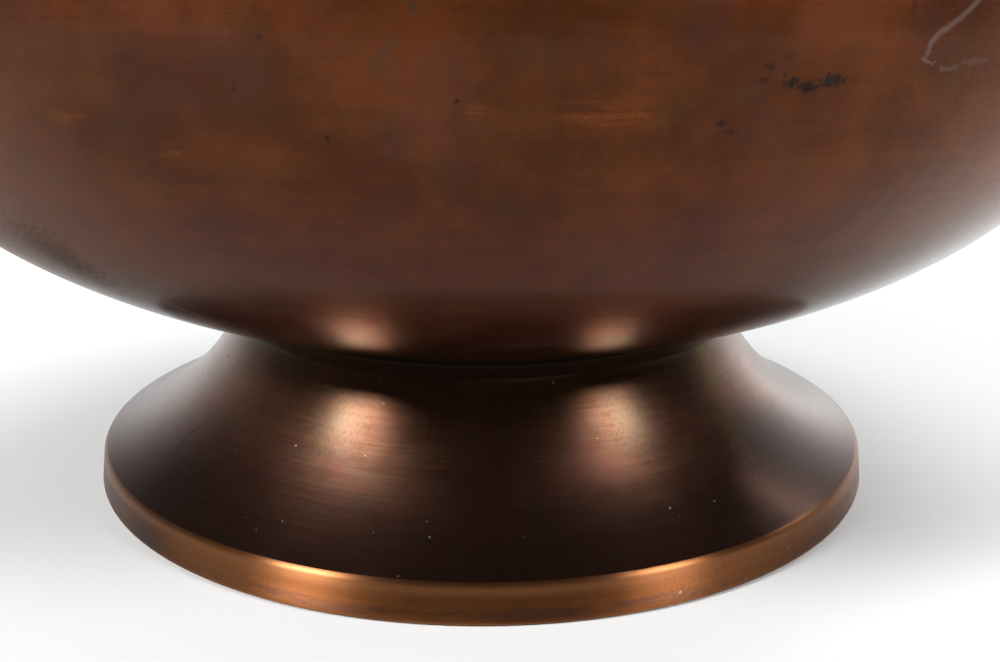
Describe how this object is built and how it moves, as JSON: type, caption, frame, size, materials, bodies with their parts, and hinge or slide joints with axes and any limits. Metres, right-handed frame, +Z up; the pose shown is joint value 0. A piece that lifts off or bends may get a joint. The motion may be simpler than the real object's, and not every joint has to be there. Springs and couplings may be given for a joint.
{
  "type": "footed bowl",
  "caption": "Round copper bowl spun from sheet, with a wired rolled rim, on a soldered trumpet-shaped foot with an upright base band; holds fruit or drinks, or stands as a centrepiece.",
  "frame": {"origin": "centre of the foot's resting ring, on the surface that the bowl stands on", "axes": "+Z up along the axis of revolution, through the bowl and the foot; the bowl is the same all round, so +X and +Y are any two level directions"},
  "size_m": [0.2608, 0.2608, 0.1154],
  "materials": {
    "bowl_copper": "aged satin copper, finely brushed round the axis, with brown patina",
    "wire_copper": "plain drawn copper wire",
    "foot_copper": "aged satin copper, darker brown patina, worn bright on the ridge and band",
    "solder": "dull solder, dirty brown-grey"
  },
  "bodies": {
    "root": {"bowl_shell": "bowl_copper", "rim_wire": "wire_copper", "foot_shell": "foot_copper", "foot_solder": "solder"}
  },
  "joints": []
}
